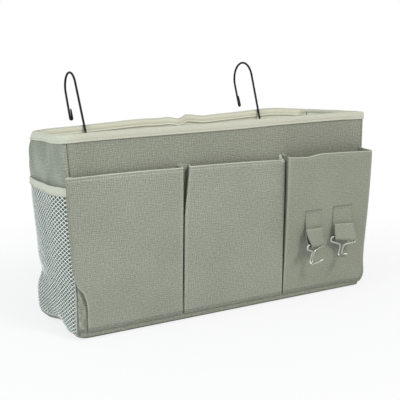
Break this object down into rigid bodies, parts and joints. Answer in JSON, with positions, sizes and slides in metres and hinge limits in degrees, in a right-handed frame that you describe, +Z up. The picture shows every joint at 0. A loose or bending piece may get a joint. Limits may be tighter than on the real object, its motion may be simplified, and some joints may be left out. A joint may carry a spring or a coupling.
{
  "type": "bedside caddy",
  "caption": "Stiffened canvas bedside caddy with pleated front pockets, net end pockets, swinging wire hooks that hang it on a bed rail, and key hooks on canvas tabs.",
  "frame": {"origin": "centre of the base, on the floor", "axes": "+Z up, -Y towards the pocketed front, +X towards the right end as seen from the front"},
  "size_m": [0.4314, 0.2111, 0.2936],
  "materials": {
    "canvas": "grey-green linen weave",
    "lining": "plain matt lining",
    "tape": "cream ribbed binding tape",
    "net": "pale knitted net",
    "board": "grey board",
    "black_wire": "black satin",
    "nickel": "bright nickel plate"
  },
  "bodies": {
    "caddy": {"back_board": "board", "back_panel": "canvas", "base_board": "board", "bottom_panel": "canvas", "eyelet_left": "nickel", "eyelet_right": "nickel", "front_board": "board", "front_panel": "canvas", "left_side_panel": "canvas", "lining_back": "lining", "lining_floor": "lining", "lining_front": "lining", "lining_left": "lining", "lining_right": "lining", "net_binding_left": "tape", "net_binding_right": "tape", "net_left": "net", "net_right": "net", "pocket_left": "canvas", "pocket_middle": "canvas", "pocket_right": "canvas", "right_side_panel": "canvas", "rim_binding": "tape"},
    "hanging_hook_left": {"hanging_hook_left": "black_wire"},
    "hanging_hook_right": {"hanging_hook_right": "black_wire"},
    "tab_left": {"tab_left": "canvas"},
    "tab_right": {"tab_right": "canvas"},
    "key_hook_left": {"key_hook_left": "nickel"},
    "key_hook_right": {"key_hook_right": "nickel"}
  },
  "joints": [
    {"name": "hanging_hook_left_swing", "type": "hinge", "parent": "caddy", "child": "hanging_hook_left", "pos_m": [-0.136, 0.0578, 0.2154], "axis": [1, 0, 0], "range_deg": [0, 70]},
    {"name": "hanging_hook_right_swing", "type": "hinge", "parent": "caddy", "child": "hanging_hook_right", "pos_m": [0.115, 0.0578, 0.2154], "axis": [1, 0, 0], "range_deg": [0, 70]},
    {"name": "tab_left_lift", "type": "hinge", "parent": "caddy", "child": "tab_left", "pos_m": [0.113, -0.0755, 0.1155], "axis": [-1, 0, 0], "range_deg": [0, 75]},
    {"name": "tab_right_lift", "type": "hinge", "parent": "caddy", "child": "tab_right", "pos_m": [0.16, -0.07618, 0.1165], "axis": [-1, 0, 0], "range_deg": [0, 75]},
    {"name": "key_hook_left_swing", "type": "hinge", "parent": "tab_left", "child": "key_hook_left", "pos_m": [0.113, -0.08385, 0.0745], "axis": [-0.9249, -0.3737, 0.0698], "range_deg": [-6, 110]},
    {"name": "key_hook_right_swing", "type": "hinge", "parent": "tab_right", "child": "key_hook_right", "pos_m": [0.16, -0.08153, 0.0755], "axis": [-0.965, 0.2406, 0.1045], "range_deg": [-6, 110]}
  ]
}
